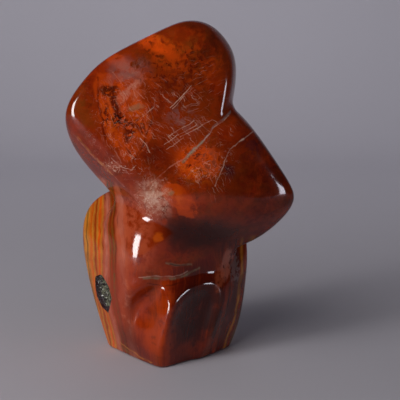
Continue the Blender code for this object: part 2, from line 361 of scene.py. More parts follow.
def cut_pit(skin, wall):
    """The stone's skin with the pit cut out of it. The pit's wall takes its own material."""
    stone = bpy.data.objects.new("polished_stone", skin)
    bowl = mesh_of(rough_bowl(1.0), "pit_bowl")
    bowl.materials.append(wall)
    cutter = bpy.data.objects.new("pit_cutter", bowl)
    cutter.matrix_world = pit_frame()
    for thing in (stone, cutter):
        bpy.context.scene.collection.objects.link(thing)
    cut = stone.modifiers.new("Pit", "BOOLEAN")
    cut.operation = "DIFFERENCE"
    cut.material_mode = "TRANSFER"
    cut.object = cutter
    stone.data = evaluated_mesh(stone)
    stone.modifiers.clear()
    bpy.data.objects.remove(cutter, do_unlink=True)
    return stone


def crystal(bm, place, radius, height, lean):
    """A six-sided crystal with a pointed end, standing in the crust."""
    body = 0.55 * height
    made = bmesh.ops.create_cone(
        bm, cap_ends=True, segments=6, radius1=radius, radius2=radius * 0.9, depth=body,
        matrix=Matrix.Translation((0, 0, body / 2)))
    faces = {face for vert in made["verts"] for face in vert.link_faces}
    top = max(faces, key=lambda face: face.calc_center_median().z)
    point = bmesh.ops.poke(bm, faces=[top])["verts"][0]
    point.co.z = height
    place = Matrix.Translation(place) @ Euler(lean).to_matrix().to_4x4()
    bmesh.ops.transform(bm, matrix=place, verts=made["verts"] + [point])


# Nodes.
def put(tree, kind, sockets=None, **settings):
    """Adds a node, sets it and fills or wires its inputs."""
    node = tree.nodes.new(kind)
    for name, value in settings.items():
        setattr(node, name, value)
    for key, value in (sockets or {}).items():
        socket = node.inputs[key]
        if isinstance(value, bpy.types.NodeSocket):
            tree.links.new(value, socket)
        else:
            socket.default_value = value
    return node


def sum_of(tree, operation, *values):
    return put(tree, "ShaderNodeMath", dict(enumerate(values)), operation=operation).outputs[0]


def vector_of(tree, operation, *values, out=0):
    return put(tree, "ShaderNodeVectorMath", dict(enumerate(values)), operation=operation).outputs[out]


def scaled(tree, vector, factor):
    return put(tree, "ShaderNodeVectorMath", {0: vector, "Scale": factor}, operation="SCALE").outputs[0]


def fade(tree, value, low, high):
    """0 below low, 1 above high and smooth between them. High may be below low."""
    return put(
        tree, "ShaderNodeMapRange", {"Value": value, "From Min": low, "From Max": high},
        interpolation_type="SMOOTHSTEP").outputs["Result"]


def noise(tree, place, scale=1.0, detail=3.0, roughness=0.55, out="Fac"):
    return put(
        tree, "ShaderNodeTexNoise",
        {"Vector": place, "Scale": scale, "Detail": detail, "Roughness": roughness}).outputs[out]


def blend_colour(tree, factor, a, b, mode="MIX"):
    a = a if isinstance(a, bpy.types.NodeSocket) else rgba(a)
    b = b if isinstance(b, bpy.types.NodeSocket) else rgba(b)
    node = put(tree, "ShaderNodeMix", {0: factor, 6: a, 7: b}, data_type="RGBA", blend_type=mode)
    return node.outputs[2]


def group(name, inputs, outputs):
    """An empty node group, with its input and output nodes. A default that is a tuple makes a vector."""
    tree = bpy.data.node_groups.new(name, "ShaderNodeTree")
    for label, default in inputs.items():
        kind = "NodeSocketVector" if isinstance(default, tuple) else "NodeSocketFloat"
        tree.interface.new_socket(label, in_out="INPUT", socket_type=kind).default_value = default
    for label, kind in outputs.items():
        tree.interface.new_socket(label, in_out="OUTPUT", socket_type=kind)
    return tree, tree.nodes.new("NodeGroupInput").outputs, tree.nodes.new("NodeGroupOutput").inputs


def use(tree, group_name, sockets=None, out=0):
    node = tree.nodes.new("ShaderNodeGroup")
    node.node_tree = bpy.data.node_groups[group_name]
    for key, value in (sockets or {}).items():
        if isinstance(value, bpy.types.NodeSocket):
            tree.links.new(value, node.inputs[key])
        else:
            node.inputs[key].default_value = value
    return node.outputs[out]


def make_ragged():
    """Pushes places about by a noise, so that what is drawn with them has natural edges."""
    tree, given, out = group("Ragged", {"Position": (0.0, 0.0, 0.0), "Size": 10.0, "Amount": 3.0},
                             {"Position": "NodeSocketVector"})
    small = scaled(tree, given["Position"], sum_of(tree, "DIVIDE", 1.0, given["Size"]))
    push = vector_of(tree, "SUBTRACT", noise(tree, small, out="Color"), (0.5, 0.5, 0.5))
    pushed = scaled(tree, push, sum_of(tree, "MULTIPLY", given["Amount"], 2.0))
    tree.links.new(vector_of(tree, "ADD", given["Position"], pushed), out["Position"])


def make_blot():
    """A patch: 1 inside an ellipsoid that is turned about the front-to-back axis, 0 outside."""
    tree, given, out = group(
        "Blot",
        {"Position": (0.0, 0.0, 0.0), "Centre": (0.0, 0.0, 0.0), "Reach": (10.0, 10.0, 10.0), "Turn": 0.0,
         "Edge": 0.2},
        {"Mask": "NodeSocketFloat"})
    cosine, sine = sum_of(tree, "COSINE", given["Turn"]), sum_of(tree, "SINE", given["Turn"])
    across = put(tree, "ShaderNodeCombineXYZ", {0: cosine, 2: sine}).outputs[0]
    up = put(tree, "ShaderNodeCombineXYZ", {0: sum_of(tree, "MULTIPLY", sine, -1.0), 2: cosine}).outputs[0]
    away = vector_of(tree, "SUBTRACT", given["Position"], given["Centre"])
    turned = put(tree, "ShaderNodeCombineXYZ", {
        0: vector_of(tree, "DOT_PRODUCT", away, across, out=1),
        1: vector_of(tree, "DOT_PRODUCT", away, (0.0, 1.0, 0.0), out=1),
        2: vector_of(tree, "DOT_PRODUCT", away, up, out=1)}).outputs[0]
    share = vector_of(tree, "LENGTH", vector_of(tree, "DIVIDE", turned, given["Reach"]), out=1)
    inner = sum_of(tree, "SUBTRACT", 1.0, given["Edge"])
    outer = sum_of(tree, "ADD", 1.0, given["Edge"])
    tree.links.new(fade(tree, share, outer, inner), out["Mask"])


def make_stroke():
    """A straight stretch of vein, seen from the front: 1 on it, 0 beyond its width."""
    tree, given, out = group(
        "Stroke",
        {"Position": (0.0, 0.0, 0.0), "Start": (0.0, 0.0, 0.0), "End": (0.0, 0.0, 10.0), "Width": 1.0},
        {"Mask": "NodeSocketFloat"})
    flat = (1.0, 0.0, 1.0)
    along = vector_of(tree, "SUBTRACT", given["End"], given["Start"])
    away = vector_of(tree, "MULTIPLY", vector_of(tree, "SUBTRACT", given["Position"], given["Start"]), flat)
    share = sum_of(
        tree, "DIVIDE", vector_of(tree, "DOT_PRODUCT", away, along, out=1),
        vector_of(tree, "DOT_PRODUCT", along, along, out=1))
    share = sum_of(tree, "MAXIMUM", sum_of(tree, "MINIMUM", share, 1.0), 0.0)
    distance = vector_of(tree, "DISTANCE", away, scaled(tree, along, share), out=1)
    tree.links.new(fade(tree, distance, given["Width"], 0.0), out["Mask"])


def make_cloud():
    """An uneven cloud of one size, from 0 to 1."""
    tree, given, out = group(
        "Cloud", {"Position": (0.0, 0.0, 0.0), "Size": 10.0, "Shift": 0.0}, {"Level": "NodeSocketFloat"})
    small = scaled(tree, given["Position"], sum_of(tree, "DIVIDE", 1.0, given["Size"]))
    moved = vector_of(tree, "ADD", small, put(tree, "ShaderNodeCombineXYZ", {0: given["Shift"]}).outputs[0])
    tree.links.new(noise(tree, moved, detail=4.0, roughness=0.6), out["Level"])


def mottle(tree, place, size, low, high, shift=0.0):
    """Spots of one size."""
    return fade(tree, use(tree, "Cloud", {"Position": place, "Size": size, "Shift": shift}), low, high)


def make_scribble():
    """Fine curled lines, as of fibres that grew through the stone."""
    tree, given, out = group(
        "Scribble", {"Position": (0.0, 0.0, 0.0), "Size": 6.0, "Width": 0.02, "Shift": 0.0},
        {"Mask": "NodeSocketFloat"})
    small = scaled(tree, given["Position"], sum_of(tree, "DIVIDE", 1.0, given["Size"]))
    moved = vector_of(tree, "ADD", small, put(tree, "ShaderNodeCombineXYZ", {1: given["Shift"]}).outputs[0])
    level = noise(tree, moved, detail=2.0, roughness=0.6)
    off = sum_of(tree, "ABSOLUTE", sum_of(tree, "SUBTRACT", level, 0.5))
    line = fade(tree, off, given["Width"], 0.0)
    gaps = fade(tree, noise(tree, moved, scale=0.7, detail=1.0), 0.47, 0.6)
    tree.links.new(sum_of(tree, "MULTIPLY", line, gaps), out["Mask"])


def make_needles():
    """Straight pale needles that lie one way, Turn degrees up from the horizontal as seen from the front."""
    tree, given, out = group(
        "Needles",
        {"Position": (0.0, 0.0, 0.0), "Turn": 0.0, "Thick": 0.8, "Long": 14.0, "Low": 0.6, "High": 0.75},
        {"Mask": "NodeSocketFloat"})
    angle = sum_of(tree, "RADIANS", given["Turn"])
    turned = put(
        tree, "ShaderNodeVectorRotate", {"Vector": given["Position"], "Angle": angle}, rotation_type="Y_AXIS")
    size = put(tree, "ShaderNodeCombineXYZ", {0: given["Long"], 1: 40.0, 2: given["Thick"]}).outputs[0]
    stretched = vector_of(tree, "DIVIDE", turned.outputs[0], size)
    tree.links.new(
        fade(tree, noise(tree, stretched, detail=1.0), given["Low"], given["High"]), out["Mask"])


def make_groups():
    for name in ("Ragged", "Blot", "Stroke", "Cloud", "Scribble", "Needles"):
        old = bpy.data.node_groups.get(name)
        if old:
            bpy.data.node_groups.remove(old)
    for make in (make_ragged, make_blot, make_stroke, make_cloud, make_scribble, make_needles):
        make()


# The sizes of the clouds that break up the patches, in millimetres.
CLOUD_SIZES = (3.0, 4.5, 6.5, 9.0, 14.0, 20.0)

# The markings, with some painted shade and one painted reflection among the patches, in millimetres. A patch:
# colour, centre, reach each way, turn in degrees, softness of its edge, strength, and the size and levels of
# the mottle that breaks it up, or none.
SLAB_PATCHES = (
    (RUST, (0, -33, 222), (70, 50, 70), 0, 0.5, 0.6, (20, 0.36, 0.56)),
    (BROWN, (20, -30, 235), (42, 40, 46), 0, 0.5, 0.5, (16, 0.35, 0.6)),
    (OLIVE, (16, -30, 258), (24, 30, 16), 10, 0.6, 0.28, (9, 0.42, 0.62)),
    (OLIVE, (-68, -30, 208), (12, 30, 22), -10, 0.6, 0.22, (12, 0.4, 0.6)),
    (WINE, (10, -36, 228), (24, 20, 14), 25, 0.5, 0.5, (7, 0.42, 0.6)),
    (ORANGE, (22, -32, 252), (26, 30, 22), -10, 0.6, 0.5, (4.5, 0.46, 0.6)),
    (WINE, (4, -36, 246), (34, 20, 16), 15, 0.6, 0.7, (3, 0.52, 0.60)),
    (WINE, (22, -47, 122), (30, 24, 14), -14, 0.6, 0.5, (14, 0.3, 0.55)),
    (WINE, (34, -32, 262), (6, 20, 24), -38, 0.6, 0.6, (9, 0.35, 0.55)),
    (FLAME, (-12, -33, 264), (20, 20, 5.5), -28, 0.5, 0.9, (4.5, 0.36, 0.5)),
    (ORANGE, (-4, -34, 256), (16, 20, 9), -28, 0.5, 0.6, (4.5, 0.44, 0.54)),
    (AMBER, (-6, -33, 266), (11, 20, 3), -28, 0.6, 0.4, (4.5, 0.46, 0.58)),
    (FLAME, (-40, -30, 250), (30, 20, 4), -32, 0.6, 0.5, (9, 0.38, 0.52)),
    (ORANGE, (-36, -35, 210), (19, 22, 31), 8, 0.09, 0.85, None),
    (ORANGE, (-47, -34, 226), (12, 22, 15), 10, 0.10, 0.8, None),
    (ORANGE, (-26, -37, 186), (10, 22, 17), -38, 0.10, 0.85, None),
    (FLAME, (-34, -35, 208), (18, 22, 30), 8, 0.3, 0.45, (4.5, 0.48, 0.56)),
    (RUST, (-37, -35, 208), (22, 22, 40), 8, 0.3, 0.55, (7, 0.46, 0.54)),
    (AMBER, (-46, -34, 208), (6, 22, 22), 5, 0.5, 0.35, (5, 0.44, 0.58)),
    (AMBER, (-24, -36, 203), (8, 22, 14), 0, 0.5, 0.35, (5, 0.44, 0.58)),
    (CORAL, (-32, -36, 222), (14, 20, 7), 30, 0.5, 0.65, (6, 0.4, 0.54)),
    (MAROON, (-46, -34, 226), (8, 20, 4.2), 0, 0.3, 0.8, (4.5, 0.34, 0.44)),
    (WINE, (-41, -34, 212), (3.0, 20, 14), 14, 0.4, 0.9, (3, 0.38, 0.46)),
    (MAROON, (-38.5, -35, 202), (7, 20, 5.5), 0, 0.4, 0.9, (3, 0.44, 0.52)),
    (WINE, (-50, -34, 206), (3, 20, 10), -8, 0.4, 0.8, (3, 0.45, 0.53)),
    (WINE, (-31, -36, 194), (4, 20, 9), -12, 0.4, 0.85, (3, 0.42, 0.5)),
    (WINE, (-22, -37, 199), (5, 20, 7), 20, 0.4, 0.7, (3, 0.45, 0.53)),
    (SAGE, (-25, -36, 214), (5.5, 20, 2.4), 20, 0.6, 0.45, (4, 0.36, 0.52)),
    # Painted reflection: a pale grey haze on the slab's upper left, where the polished face mirrors a dim
    # light.
    (ASH, (-31, -34, 242), (14, 20, 9), 10, 0.7, 0.45, (9, 0.36, 0.6)),
    (ROSE, (-29, -35, 228), (10, 20, 2.6), 42, 0.6, 0.7, (4, 0.36, 0.54)),
    (ASH, (12, -37, 204), (12, 20, 9), -30, 0.7, 0.3, (5, 0.42, 0.6)),
    (ROSE, (-42, -36, 168), (12, 20, 5), 35, 0.6, 0.3, (5, 0.44, 0.6)),
    (WINE, (-10, -38, 174), (20, 20, 9), -42, 0.6, 0.5, (14, 0.25, 0.5)),
)
SHOULDER_PATCHES = (
    (MAROON, (82, -34, 150), (34, 40, 34), 0, 0.6, 0.5, (14, 0.34, 0.62)),
    # Painted shade: a dark sheet under the shoulder's lower edge, over the top of the throat.
    (MAROON, (26, -40, 110), (46, 34, 14), -8, 0.6, 0.9, None),
    (BROWN, (48, -44, 152), (22, 30, 30), 0, 0.5, 0.5, (9, 0.4, 0.6)),
    (ORANGE, (24, -47, 172), (20, 22, 14), -12, 0.2, 0.85, (4.5, 0.36, 0.46)),
    (FLAME, (24, -47, 172), (16, 22, 11), -12, 0.3, 0.5, (3, 0.48, 0.56)),
    (WINE, (28, -47, 170), (18, 22, 12), -20, 0.4, 0.8, (4, 0.52, 0.6)),
    (AMBER, (20, -47, 163), (14, 22, 6), -20, 0.6, 0.4, (4, 0.44, 0.56)),
    (CORAL, (34, -48, 172), (9, 22, 10), 0, 0.5, 0.4, (4, 0.44, 0.58)),
    (PLUM, (47, -46, 164), (5, 20, 6), 0, 0.6, 0.75, (5, 0.3, 0.5)),
    (PLUM, (68, -38, 182), (9, 20, 9), 0, 0.6, 0.5, (7, 0.4, 0.6)),
    (ORANGE, (6, -46, 144), (13, 22, 9), -30, 0.09, 0.8, None),
    (ORANGE, (15, -48, 135), (8.5, 22, 11), 25, 0.10, 0.8, None),
    (RUST, (12, -47, 140), (16, 22, 14), 0, 0.4, 0.6, (6, 0.44, 0.58)),
    (AMBER, (4, -46, 145), (9, 22, 5), -25, 0.6, 0.35, (4, 0.4, 0.56)),
    (WINE, (21, -48, 133), (3, 22, 8), 15, 0.5, 0.6, (4, 0.4, 0.56)),
    (SAGE, (2, -46, 146), (2.6, 20, 1.8), 0, 0.6, 0.55, None),
    (ROSE, (-12, -42, 138), (12, 20, 15), 15, 0.6, 0.55, (6.5, 0.32, 0.56)),
    (BONE, (-13, -41, 142), (8, 20, 10), 20, 0.8, 0.45, (6.5, 0.34, 0.6)),
    (BONE, (-12, -41, 141), (10, 20, 14), 20, 0.7, 0.45, (3, 0.44, 0.6)),
    (RUST, (-20, -40, 112), (17, 24, 26), 10, 0.5, 0.7, None),
    (AMBER, (-8.6, -43, 109), (3.4, 20, 4.2), 0, 0.35, 0.6, None),
    (RUST, (-3, -43, 122), (2.6, 20, 2.2), 0, 0.4, 0.6, None),
    (CORAL, (-27, -34, 114), (13, 24, 32), 12, 0.6, 0.65, (6, 0.36, 0.58)),
    (RUST, (-40, -26, 50), (18, 40, 34), 0, 0.5, 0.7, (9, 0.3, 0.5)),
    (ORANGE, (-22, -36, 48), (12, 30, 30), 0, 0.6, 0.35, (9, 0.36, 0.56)),
    (ORANGE, (-3, -46, 40), (8, 24, 30), 0, 0.6, 0.6, (6, 0.36, 0.54)),
    (WINE, (-40, -31, 14), (24, 20, 15), -12, 0.6, 0.75, (14, 0.25, 0.5)),
    (ORANGE, (-13, -43, 24), (9, 24, 14), 10, 0.6, 0.55, (9, 0.3, 0.5)),
    # Partly the stone's darker red, partly painted shade: the right scoop and the base's right side, which
    # turn away from the key light, are darkened.
    (MAROON, (24, -32, 42), (25, 34, 34), 0, 0.5, 0.75, (16, 0.2, 0.5)),
    (MAROON, (60, -14, 48), (22, 40, 56), 0, 0.7, 0.5, (14, 0.35, 0.58)),
    (ROSE, (47, -14, 80), (5, 40, 13), -8, 0.25, 0.5, (6, 0.38, 0.5)),
    (ASH, (55, -12, 74), (4, 40, 12), -5, 0.3, 0.5, (5, 0.4, 0.52)),
    (CORAL, (41, -18, 70), (4, 40, 10), -8, 0.3, 0.45, (5, 0.4, 0.52)),
    (RUST, (24, -30, 12), (16, 22, 7), 0, 0.6, 0.5, (8, 0.35, 0.55)),
)
BACK_PATCHES = (
    (ORANGE, (-20, 40, 205), (24, 24, 18), 25, 0.2, 0.8, (8, 0.35, 0.5)),
    (AMBER, (-14, 40, 208), (12, 24, 9), 20, 0.4, 0.5, (5, 0.4, 0.6)),
    (WINE, (24, 36, 222), (20, 24, 28), -10, 0.4, 0.6, (9, 0.38, 0.6)),
    (BROWN, (30, 34, 160), (30, 30, 26), 0, 0.5, 0.5, (12, 0.4, 0.6)),
)
# A vein: colour, strength, width, then its points as seen from the front (x, z).
VEINS = (
    (ASH, 0.8, 1.3, (49, 208), (36, 199), (27, 187), (15, 175)),
    (BONE, 0.5, 0.7, (48, 206), (35, 197), (26, 186), (16, 175)),
    (SAGE, 0.7, 1.9, (27, 187), (20, 179), (12, 171)),
    (ROSE, 0.5, 0.9, (15, 175), (1, 166), (-10, 157), (-28, 143)),
    (BONE, 0.5, 0.7, (68, 193), (58, 187), (49, 181), (44, 171), (40, 162), (37, 153)),
    (BONE, 0.55, 1.3, (60, 188), (57, 186)),
    (ROSE, 0.5, 1.1, (-76, 190), (-60, 172), (-46, 159), (-36, 149)),
    (OCHRE, 0.4, 1.3, (-72, 188), (-57, 170), (-45, 158)),
    (WINE, 0.7, 1.6, (-56, 236), (-56, 220), (-53, 200), (-50, 188)),
    (WINE, 0.6, 1.3, (-33, 180), (-27, 172), (-20, 182)),
    (WINE, 0.6, 1.2, (-20, 182), (-15, 196), (-12, 206), (-14, 218)),
    (BONE, 0.4, 0.6, (-20, 205), (-12, 212), (-10, 218)),
    (ROSE, 0.5, 0.6, (-44, 240), (-38, 234), (-36, 230)),
    (ROSE, 0.5, 0.7, (-31, 235), (-24, 225), (-18, 219)),
    (BONE, 0.6, 0.6, (2, 213), (15, 226)),
    (BONE, 0.5, 0.5, (4, 212), (13, 222)),
    (BONE, 0.55, 0.5, (10, 220), (18, 230)),
    (BONE, 0.5, 0.5, (-4, 184), (22, 200)),
    (BONE, 0.45, 0.5, (0, 190), (20, 203)),
    (BONE, 0.45, 0.5, (-2, 180), (12, 189)),
    (BONE, 0.5, 0.6, (10, 190), (34, 204)),
    (BONE, 0.55, 0.6, (-22, 188), (-17, 182), (-15, 178)),
    (BONE, 0.5, 0.5, (-46, 172), (-38, 166), (-28, 164)),
)
CREASE_VEINS = (
    (SAGE, 0.65, 2.0, (-20, 75), (-10, 75), (4, 74), (15, 77), (24, 81)),
    (BONE, 0.35, 1.0, (-24, 76), (-12, 77), (4, 76), (14, 79)),
    (SAGE, 0.6, 1.6, (-2, 88), (6, 86), (18, 85)),
    (MAROON, 0.8, 1.1, (1, 87), (8, 85.5), (14, 85)),
    (MAROON, 0.5, 1.0, (-18, 70), (-4, 69), (10, 71)),
    (OCHRE, 0.5, 1.3, (-54, 20), (-48, 12), (-36, 6.5), (-16, 3)),
    (OLIVE, 0.6, 1.4, (-56, 15), (-49, 8), (-36, 3), (-20, 1)),
)
# The upright bands of the base: their place across it, from -1 at the left outline to 1 at the right.
LEFT_BANDS = (
    (-1.02, OLIVE), (-0.975, WINE), (-0.94, BROWN), (-0.91, OCHRE), (-0.885, OCHRE), (-0.875, OLIVE),
    (-0.865, OCHRE), (-0.815, AMBER), (-0.80, OCHRE), (-0.775, RUST), (-0.755, OCHRE), (-0.735, FLAME),
    (-0.71, OCHRE), (-0.69, CORAL), (-0.655, ROSE), (-0.62, CORAL), (-0.605, OLIVE), (-0.585, RUST),
    (-0.56, OLIVE), (-0.535, BROWN), (-0.51, CORAL), (-0.44, ROSE), (-0.40, CORAL), (-0.33, RUST),
    (-0.22, RED_BROWN), (-0.12, BROWN), (0.02, RUST), (0.10, RED_BROWN),
)
RIGHT_BANDS = (
    (0.10, RED_BROWN), (0.30, WINE), (0.50, RED_BROWN), (0.60, BROWN), (0.645, WINE), (0.675, RUST),
    (0.70, BROWN), (0.715, WINE), (0.745, RED_BROWN), (0.775, WINE), (0.815, BROWN), (0.835, OCHRE),
    (0.86, BROWN), (0.89, RUST), (0.92, OLIVE), (0.965, OCHRE), (1.0, OLIVE),
)
BAND_CENTRE, BAND_HALF, BAND_TAPER, BAND_TOP = -4.0, 76.0, 17.0, 90.0
# The bands end at a border that falls from the left flank to the crease.
BORDER_LEFT, BORDER_RIGHT, BORDER_TOP, BORDER_FOOT = -44.0, -24.0, 150.0, 84.0


def band_ramp(tree, across, stops):
    """A colour for each place across the base."""
    low, high = stops[0][0], stops[-1][0]
    place = put(tree, "ShaderNodeMapRange", {"Value": across, "From Min": low, "From Max": high})
    ramp = put(tree, "ShaderNodeValToRGB", {"Fac": place.outputs["Result"]})
    marks = ramp.color_ramp.elements
    marks.remove(marks[0])
    marks[0].position, marks[0].color = 0.0, rgba(stops[0][1])
    for at, colour in stops[1:]:
        marks.new((at - low) / (high - low)).color = rgba(colour)
    return ramp.outputs["Color"]


def banding(tree, place):
    """The base's colour: upright bands that close in towards the foot as its outline does."""
    x, y, z = put(tree, "ShaderNodeSeparateXYZ", {0: place}).outputs
    low = sum_of(tree, "SUBTRACT", 1.0, sum_of(tree, "DIVIDE", z, BAND_TOP))
    low.node.use_clamp = True
    taper = sum_of(tree, "MULTIPLY", sum_of(tree, "MULTIPLY", low, low), BAND_TAPER)
    half = sum_of(tree, "SUBTRACT", BAND_HALF, taper)
    across = sum_of(tree, "DIVIDE", sum_of(tree, "SUBTRACT", x, BAND_CENTRE), half)
    left, right = band_ramp(tree, across, LEFT_BANDS), band_ramp(tree, across, RIGHT_BANDS)
    side = fade(tree, across, 0.095, 0.105)
    colour = blend_colour(tree, side, left, right)
    flow = put(tree, "ShaderNodeCombineXYZ", {
        0: sum_of(tree, "MULTIPLY", across, 46.0), 1: sum_of(tree, "MULTIPLY", y, 0.05),
        2: sum_of(tree, "MULTIPLY", z, 0.045)}).outputs[0]
    thin = noise(tree, flow, scale=1.0, detail=5.0, roughness=0.65)
    faded = mottle(tree, place, 24.0, 0.42, 0.62, 2.0)
    colour = blend_colour(tree, sum_of(tree, "MULTIPLY", faded, 0.3), colour, RED_BROWN)
    colour = blend_colour(tree, sum_of(tree, "MULTIPLY", fade(tree, thin, 0.50, 0.66), 0.4), colour, ORANGE)
    return blend_colour(tree, sum_of(tree, "MULTIPLY", fade(tree, thin, 0.46, 0.32), 0.5), colour, WINE)


def jasper_colour(tree, place):
    """Every marking of the polished stone but its fibres, with some painted shade and a painted reflection,
    and the place that its ragged edges hang on.
    """
    ragged = use(tree, "Ragged", {"Position": place, "Size": 14.0, "Amount": 4.5})
    frayed = use(tree, "Ragged", {"Position": ragged, "Size": 3.0, "Amount": 1.1})
    wavy = use(tree, "Ragged", {"Position": place, "Size": 22.0, "Amount": 3.0})
    drift = use(tree, "Ragged", {"Position": place, "Size": 42.0, "Amount": 5.5})
    # The ground: red-brown with darker and rustier clouds at two sizes.
    cloud = mottle(tree, ragged, 26.0, 0.38, 0.62)
    spots = mottle(tree, frayed, 6.5, 0.40, 0.60, 7.0)
    specks = mottle(tree, frayed, 2.4, 0.50, 0.68, 3.0)
    colour = blend_colour(tree, cloud, RED_BROWN, BROWN)
    colour = blend_colour(tree, sum_of(tree, "MULTIPLY", spots, 0.55), colour, RUST)
    colour = blend_colour(tree, sum_of(tree, "MULTIPLY", specks, 0.35), colour, WINE)
    # The base's bands, up to a ragged border that follows the crease.
    x, y, z = put(tree, "ShaderNodeSeparateXYZ", {0: ragged}).outputs
    border = put(
        tree, "ShaderNodeMapRange",
        {"Value": x, "From Min": BORDER_LEFT, "From Max": BORDER_RIGHT, "To Min": BORDER_TOP,
         "To Max": BORDER_FOOT},
        interpolation_type="SMOOTHSTEP").outputs["Result"]
    rise = sum_of(tree, "MULTIPLY", fade(tree, x, 10.0, 60.0), 18.0)
    below = fade(tree, sum_of(tree, "SUBTRACT", z, sum_of(tree, "ADD", border, rise)), 4.0, -4.0)
    colour = blend_colour(tree, below, colour, banding(tree, drift))
    clouds = [
        (size, use(tree, "Cloud", {"Position": frayed, "Size": size, "Shift": 5.0 + size * turn}))
        for size in CLOUD_SIZES for turn in (1, 3)]
    # The patches include painted shade under the shoulder, in the right scoop and on the base's right side,
    # and a painted reflection on the slab.
    patches = SLAB_PATCHES + SHOULDER_PATCHES + BACK_PATCHES
    for number, (pigment_and_painted_light, centre, reach, turn, edge, strength, broken) in enumerate(patches):
        mask = use(tree, "Blot", {
            "Position": frayed, "Centre": centre, "Reach": reach, "Turn": math.radians(turn), "Edge": edge})
        if broken:
            size, low, high = broken
            like = sorted(clouds, key=lambda cloud: abs(cloud[0] - size))[number % 2]
            mask = sum_of(tree, "MULTIPLY", mask, fade(tree, like[1], low, high))
        colour = blend_colour(tree, sum_of(tree, "MULTIPLY", mask, strength), colour, pigment_and_painted_light)
    front = fade(tree, y, -4.0, -12.0)
    uneven = use(tree, "Ragged", {"Position": wavy, "Size": 4.0, "Amount": 0.8})
    whole = mottle(tree, wavy, 7.0, 0.36, 0.56, 1.0)
    whole = sum_of(tree, "MULTIPLY", front, sum_of(tree, "ADD", sum_of(tree, "MULTIPLY", whole, 0.75), 0.25))
    for pigment_and_painted_light, strength, width, *points in VEINS + CREASE_VEINS:
        mask = 0.0
        for start, end in zip(points, points[1:]):
            stretch = use(tree, "Stroke", {
                "Position": uneven, "Start": (start[0], 0, start[1]), "End": (end[0], 0, end[1]),
                "Width": width})
            mask = sum_of(tree, "MAXIMUM", mask, stretch) if mask else stretch
        mask = sum_of(tree, "MULTIPLY", sum_of(tree, "MULTIPLY", mask, whole), strength)
        colour = blend_colour(tree, mask, colour, pigment_and_painted_light)
    return colour, frayed


FIBRE_ZONES = (
    # centre, reach, strength: where the pale curled fibres are thick
    ((-34, -36, 200), (28, 24, 40), 0.28),
    ((-38, -37, 168), (17, 20, 10), 0.75),
    ((28, -47, 170), (22, 22, 16), 0.45),
    ((-13, -41, 141), (13, 20, 17), 0.9),
)
NEEDLE_ZONES = (
    # centre, reach, turn, strength: where straight needles lie side by side
    ((10, -38, 192), (22, 20, 9), -33, 0.7),
    ((8, -37, 220), (12, 20, 10), -48, 0.55),
    ((34, -40, 198), (18, 20, 8), -38, 0.5),
    ((38, -47, 158), (10, 20, 14), -60, 0.35),
    ((-2, -38, 206), (30, 20, 26), -42, 0.35),
    ((-32, -36, 202), (22, 22, 34), -66, 0.35),
    ((28, -36, 226), (20, 20, 26), 24, 0.25),
)


def fibres(tree, place, colour):
    """Pale fibres over the markings, with a mask of where they are."""
    total = 0.0
    curled = use(tree, "Scribble", {"Position": place, "Size": 8.0, "Width": 0.016})
    fine = use(tree, "Scribble", {"Position": place, "Size": 4.4, "Width": 0.020, "Shift": 4.0})
    lines = sum_of(tree, "MAXIMUM", curled, fine)
    for centre, reach, strength in FIBRE_ZONES:
        zone = use(tree, "Blot", {"Position": place, "Centre": centre, "Reach": reach, "Edge": 0.5})
        share = sum_of(tree, "MULTIPLY", sum_of(tree, "MULTIPLY", zone, lines), strength)
        total = sum_of(tree, "MAXIMUM", total, share)
    for centre, reach, turn, strength in NEEDLE_ZONES:
        zone = use(tree, "Blot", {"Position": place, "Centre": centre, "Reach": reach, "Edge": 0.5})
        needles = use(tree, "Needles", {"Position": place, "Turn": turn})
        share = sum_of(tree, "MULTIPLY", sum_of(tree, "MULTIPLY", zone, needles), strength)
        total = sum_of(tree, "MAXIMUM", total, share)
    return blend_colour(tree, total, colour, BONE), total


def new_material(name):
    material = bpy.data.materials.new(name)
    material.use_nodes = True
    tree = material.node_tree
    tree.nodes.clear()
    shader = tree.nodes.new("ShaderNodeBsdfPrincipled")
    output = tree.nodes.new("ShaderNodeOutputMaterial")
    tree.links.new(shader.outputs["BSDF"], output.inputs["Surface"])
    place = scaled(tree, put(tree, "ShaderNodeTexCoord").outputs["Object"], 1 / MM)
    return material, tree, shader, place


def jasper_material():
    material, tree, shader, place = new_material("polished_jasper")
    colour, frayed = jasper_colour(tree, place)
    colour, pale = fibres(tree, frayed, colour)
    tree.links.new(colour, shader.inputs["Base Color"])
    dull = noise(tree, place, scale=0.05, detail=3.0)
    gloss = put(tree, "ShaderNodeMapRange", {
        "Value": dull, "From Min": 0.3, "From Max": 0.7, "To Min": GLOSS_FINE, "To Max": GLOSS_DULL})
    fibrous = sum_of(tree, "MULTIPLY", pale, FIBRE_DULL)
    tree.links.new(sum_of(tree, "ADD", gloss.outputs["Result"], fibrous), shader.inputs["Roughness"])
    shader.inputs["IOR"].default_value = JASPER_IOR
    shader.inputs["Specular IOR Level"].default_value = JASPER_SHINE
    height = noise(tree, place, scale=0.06, detail=2.0)
    bump = put(tree, "ShaderNodeBump", {"Height": height, "Strength": 0.35, "Distance": 0.4 * MM})
    tree.links.new(bump.outputs["Normal"], shader.inputs["Normal"])
    return material


def raw_wall_material():
    material, tree, shader, place = new_material("raw_pit_wall")
    rough = mottle(tree, place, 3.0, 0.35, 0.65)
    grey = mottle(tree, place, 1.4, 0.52, 0.66, 5.0)
    colour = blend_colour(tree, rough, PIT_BLACK, PLUM)
    colour = blend_colour(tree, sum_of(tree, "MULTIPLY", grey, 0.6), colour, PIT_GREY)
    tree.links.new(colour, shader.inputs["Base Color"])
    shader.inputs["Roughness"].default_value = WALL_ROUGHNESS
    height = noise(tree, place, scale=0.8, detail=5.0)
    bump = put(tree, "ShaderNodeBump", {"Height": height, "Distance": 1.0 * MM})
    tree.links.new(bump.outputs["Normal"], shader.inputs["Normal"])
    return material


